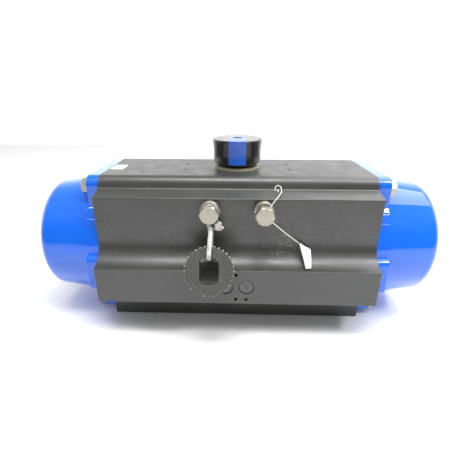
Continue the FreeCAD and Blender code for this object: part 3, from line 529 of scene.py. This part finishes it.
def spring_coils(side, sign):
    """Four open coils between a piston and its seat, filling the spring set's length as it stands."""
    low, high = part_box(f"spring_set_{side}")
    near, far = sorted((abs(low[0]), abs(high[0])))
    length = far - near - 2 * SPRING_WIRE_RADIUS
    steps = SPRING_TURNS * 28
    coils = bmesh.new()
    for across, up in SPRING_PLACES:
        line = []
        for step in range(steps + 1):
            angle = 2 * math.pi * SPRING_TURNS * step / steps
            line.append(Vector((sign * (near + SPRING_WIRE_RADIUS + length * step / steps),
                                across * SPRING_CIRCLE_RADIUS + SPRING_COIL_RADIUS * math.cos(angle),
                                SPRING_AXIS_HEIGHT + up * SPRING_CIRCLE_RADIUS
                                + SPRING_COIL_RADIUS * math.sin(angle))))
        one = swept(round_sections(line, SPRING_WIRE_RADIUS, 10), False)
        joined = bpy.data.meshes.new("coil")
        one.to_mesh(joined)
        one.free()
        coils.from_mesh(joined)
        bpy.data.meshes.remove(joined)
    piece = piece_from(f"spring_coils_{side}", coils, "spring_steel", "root")
    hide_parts(f"spring_set_{side}")
    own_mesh(piece)


spring_coils("left", -1)
spring_coils("right", 1)

# ---------------------------------------------------- cable tie on the insert

STRAP_WIDTH = 0.0046
STRAP_THICKNESS = 0.0012
INSERT_FACE = Vector((-0.029, -0.1165, 0.1014))
INSERT_OUT = Vector((0, -math.cos(INSERT_LEAN), math.sin(INSERT_LEAN)))
INSERT_UP = Vector((0, math.sin(INSERT_LEAN), math.cos(INSERT_LEAN)))
INSERT_LENGTH = 0.016


def beside_insert(x, rise, ahead):
    """A point at a height over the insert's axis and a distance ahead of its front face."""
    spot = INSERT_FACE + INSERT_UP * rise + INSERT_OUT * ahead
    return (x, spot.y, spot.z)


STRAP_BEHIND = -INSERT_LENGTH - 0.0038
STRAP_ROUTE = [
    (-0.0206, -0.0880, 0.1456),
    (-0.0214, -0.0880, 0.1545),
    (-0.0220, -0.0880, 0.1650),
    (-0.0371, -0.0880, 0.1650),
    (-0.0369, -0.0880, 0.1515),
    (-0.0280, -0.0905, 0.1415),
    beside_insert(-0.0284, 0.0290, 0.0030),
    beside_insert(-0.0293, 0.0113, 0.0040),
    beside_insert(-0.0290, 0.0107, STRAP_BEHIND),
    beside_insert(-0.0284, 0.0300, STRAP_BEHIND),
    (-0.0278, -0.0874, 0.1310),
    (-0.0266, -0.0876, 0.1380),
    (-0.0212, -0.0880, 0.1410),
]


FRONT_SHARE = 0.6
LOCK_SIZE = (0.0074, 0.0054, 0.0090)
LOCK_MIDDLE = (-0.0201, -0.0882, 0.1413)


def strap_outline():
    """Half of the strap's section as (across, through): flat, with small chamfers."""
    wide = STRAP_WIDTH / 2
    thick = STRAP_THICKNESS / 2
    chamfer = 0.0003
    quarter = [(wide - chamfer, thick), (wide, thick - chamfer)]
    right = quarter + [(across, -through) for across, through in reversed(quarter)]
    return right + [(-across, through) for across, through in reversed(right)]


def tie_strap():
    """A flat strap whose width lies along the bolt above and across the insert's wall below."""
    line = smooth_loop(STRAP_ROUTE, 14)
    count = len(line)
    outline = strap_outline()
    sections = []
    across = Vector((0, 1, 0))
    for index, middle in enumerate(line):
        along = (line[(index + 1) % count] - line[index - 1]).normalized()
        in_front = index < FRONT_SHARE * count
        turned = smoothstep(0.152, 0.138, middle.z) if in_front else smoothstep(0.139, 0.130, middle.z)
        wish = Vector((0, 1, 0)).lerp(Vector((-1, 0, 0)), turned)
        across = (wish - along * wish.dot(along)).normalized()
        through = along.cross(across)
        sections.append([middle + across * a + through * b for a, b in outline])
    return piece_from("tie_strap", swept(sections, True), "nylon", None)


def tie_lock():
    """The ratchet head, a small block with well rounded edges."""
    block = bmesh.new()
    bmesh.ops.create_cube(block, size=1.0)
    bmesh.ops.scale(block, vec=LOCK_SIZE, verts=block.verts)
    bmesh.ops.bevel(block, geom=block.edges[:], offset=0.0011, segments=4, profile=0.6, affect="EDGES")
    bmesh.ops.translate(block, vec=LOCK_MIDDLE, verts=block.verts)
    return piece_from("tie_lock", block, "nylon", "hung_insert")


def tie_tail():
    """The cut-off end of the strap beyond the lock, with its ratchet teeth."""
    start = Vector((-0.0168, -0.0882, 0.1400))
    length = 0.0028
    steps = 24
    teeth = 5
    sections = []
    for step in range(steps + 1):
        t = step / steps
        bite = 0.00022 * (t * teeth % 1.0)
        low = -STRAP_THICKNESS / 2
        high = STRAP_THICKNESS / 2 + bite - 0.0001
        x = start.x + length * t
        droop = start.z - 0.0006 * t * t
        corners = [(-0.0021, low), (0.0021, low), (0.0021, high), (-0.0021, high)]
        sections.append([Vector((x, start.y + across, droop + through)) for across, through in corners])
    return piece_from("tie_tail", swept(sections, False), "nylon", "hung_insert", smooth=False)


strap = tie_strap()
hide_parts("cable_tie")
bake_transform(strap)
tie_lock()
tie_tail()

# -------------------------------------------------------------- tag and knots

TAG_CORNERS = [
    Vector((0.0708, -0.0817, 0.1187)),
    Vector((0.0835, -0.0835, 0.1124)),
    Vector((0.0829, -0.0986, 0.0965)),
    Vector((0.0770, -0.0984, 0.0955)),
]
TAG_THICKNESS = 0.0003


def paper_tag():
    """A narrow paper card, with its string at the top corner, creased and curled along its length."""
    rows = 22
    columns = 9
    card = bmesh.new()
    out = (TAG_CORNERS[1] - TAG_CORNERS[0]).cross(TAG_CORNERS[3] - TAG_CORNERS[0]).normalized()
    if out.y > 0:
        out.negate()
    sheets = []
    for lift in (0.0, TAG_THICKNESS):
        grid = []
        for row in range(rows + 1):
            v = row / rows
            left = TAG_CORNERS[0].lerp(TAG_CORNERS[3], v)
            right = TAG_CORNERS[1].lerp(TAG_CORNERS[2], v)
            line = []
            for column in range(columns + 1):
                u = column / columns
                curl = 0.0012 * math.sin(math.pi * v) * (0.4 + 0.6 * u)
                crease = 0.0007 * math.exp(-((u - 0.35 - 0.4 * v) / 0.12) ** 2)
                line.append(card.verts.new(left.lerp(right, u) + out * (curl + crease + lift)))
            grid.append(line)
        sheets.append(grid)
    back, front = sheets
    for row in range(rows):
        for column in range(columns):
            for grid in sheets:
                card.faces.new((grid[row][column], grid[row][column + 1],
                                grid[row + 1][column + 1], grid[row + 1][column]))
    border = [(0, c) for c in range(columns)] + [(r, columns) for r in range(rows)]
    border += [(rows, c) for c in range(columns, 0, -1)] + [(r, 0) for r in range(rows, 0, -1)]
    for step, (row, column) in enumerate(border):
        next_row, next_column = border[(step + 1) % len(border)]
        card.faces.new((back[row][column], back[next_row][next_column],
                        front[next_row][next_column], front[row][column]))
    return piece_from("paper_tag", card, "paper", "stop_bolt_right")


def knot(name, centre, size, lean=0.0):
    """A small overhand knot: a trefoil of string pulled tight."""
    turns = 60
    sides = 8
    line = []
    for step in range(turns):
        a = 2 * math.pi * step / turns
        x = math.sin(a) + 2 * math.sin(2 * a)
        y = math.cos(a) - 2 * math.cos(2 * a)
        spot = Vector((x, -math.sin(3 * a) * 0.9, y)) * (size / 6)
        spot.rotate(Vector((1, 0, 0)).rotation_difference(Vector((math.cos(lean), 0, math.sin(lean)))))
        line.append(Vector(centre) + spot)
    sections = []
    for index, middle in enumerate(line):
        along = (line[(index + 1) % turns] - line[index - 1]).normalized()
        across = along.cross(Vector((0.3, 1, 0.2))).normalized()
        through = along.cross(across)
        ring = []
        for side in range(sides):
            angle = 2 * math.pi * side / sides
            reach = STRING_DIAMETER * 0.42
            ring.append(middle + (across * math.cos(angle) + through * math.sin(angle)) * reach)
        sections.append(ring)
    return piece_from(name, swept(sections, True), "string", "stop_bolt_right")


tag = paper_tag()
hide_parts("inspection_tag")
tag_knot = knot("tag_knot", (0.0722, -0.0822, 0.1176), 0.0024)
tail_knot = knot("tail_knot", (0.0452, -0.0660, 0.1752), 0.0026, 0.6)

for strand, node in ((tag_string, "tag_string"), (string_tail, "string_tail")):
    strand.data.materials.append(FINISHES["string"])
    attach(strand, "stop_bolt_right")
    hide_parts(node)

# ------------------------------------------------------------ floor and light

FLOOR_HALF_SIZE = 1.3
FRONT_LEVEL = 0.16
BACK_LEVEL = 1.8
SKY_LEVEL = 0.5
SEEN_LEVEL = 1.05
BODY_MIDDLE = (0, 0, 0.1)


def floor():
    """A broad pale floor under the object."""
    ground = bmesh.new()
    bmesh.ops.create_grid(ground, x_segments=2, y_segments=2, size=FLOOR_HALF_SIZE)
    mesh = bpy.data.meshes.new("floor")
    ground.to_mesh(mesh)
    ground.free()
    plane = bpy.data.objects.new("floor", mesh)
    bpy.context.scene.collection.objects.link(plane)
    s = Shader("floor_white")
    tone = s.noise(3, 2)
    base = s.mix(s.ramp(tone, 0.3, 0.7), (0.93, 0.93, 0.93), (0.95, 0.95, 0.95))
    mesh.materials.append(s.finish(base, s.ramp(tone, 0.3, 0.7, 0.5, 0.6)))


def area_light(name, place, target, size, power):
    data = bpy.data.lights.new(name, "AREA")
    data.shape = "RECTANGLE"
    data.size, data.size_y = size
    data.energy = power
    light = bpy.data.objects.new(name, data)
    light.location = place
    light.rotation_euler = (Vector(target) - Vector(place)).to_track_quat("-Z", "Y").to_euler()
    bpy.context.scene.collection.objects.link(light)
    return light


def surroundings():
    """A white room, dimmer on the side that the camera stands on, white where it is seen."""
    world = bpy.data.worlds.new("studio")
    bpy.context.scene.world = world
    world.use_nodes = True
    tree = world.node_tree
    tree.nodes.clear()

    def add(kind, inputs=None, **settings):
        node = tree.nodes.new(kind)
        for name, setting in settings.items():
            setattr(node, name, setting)
        for key, value in (inputs or {}).items():
            if isinstance(value, bpy.types.NodeSocket):
                tree.links.new(value, node.inputs[key])
            else:
                node.inputs[key].default_value = value
        return node

    def step(value, low, high, to_low, to_high):
        inputs = {"Value": value, "From Min": low, "From Max": high, "To Min": to_low, "To Max": to_high}
        return add("ShaderNodeMapRange", inputs, interpolation_type="SMOOTHSTEP").outputs[0]

    toward = add("ShaderNodeTexCoord").outputs["Generated"]
    parts = add("ShaderNodeSeparateXYZ", {0: toward})
    level = step(parts.outputs["Y"], -0.35, 0.35, FRONT_LEVEL, BACK_LEVEL)
    overhead = step(parts.outputs["Z"], 0.25, 0.75, 0.0, 1.0)
    lifted = add("ShaderNodeMix", {"Factor": overhead, "A": level, "B": SKY_LEVEL}, data_type="FLOAT")
    room = add("ShaderNodeBackground", {"Color": (1, 1, 1, 1), "Strength": lifted.outputs[0]})
    seen = add("ShaderNodeBackground", {"Color": (1, 1, 1, 1), "Strength": SEEN_LEVEL})
    direct = add("ShaderNodeLightPath").outputs["Is Camera Ray"]
    both = add("ShaderNodeMixShader", {0: direct, 1: room.outputs[0], 2: seen.outputs[0]})
    out = add("ShaderNodeOutputWorld")
    tree.links.new(both.outputs[0], out.inputs["Surface"])


floor()
surroundings()
area_light("front_key", (0, -0.36, 1.45), (0, 0, 0.05), (0.9, 0.3), 15)
area_light("right_key", (0.83, -0.5, 1.25), (0, 0, 0.05), (0.25, 0.25), 8)
area_light("soft_panel", (0.7, 0.45, 1.25), (0.05, 0, 0.1), (1.3, 0.9), 12)
area_light("front_tube_high", (-0.1, -0.73, 1.53), BODY_MIDDLE, (2.4, 0.03), 3.5)
area_light("front_tube_low", (-0.1, -1.17, 1.19), BODY_MIDDLE, (2.4, 0.02), 1.0)
bpy.context.scene.view_settings.view_transform = "Standard"
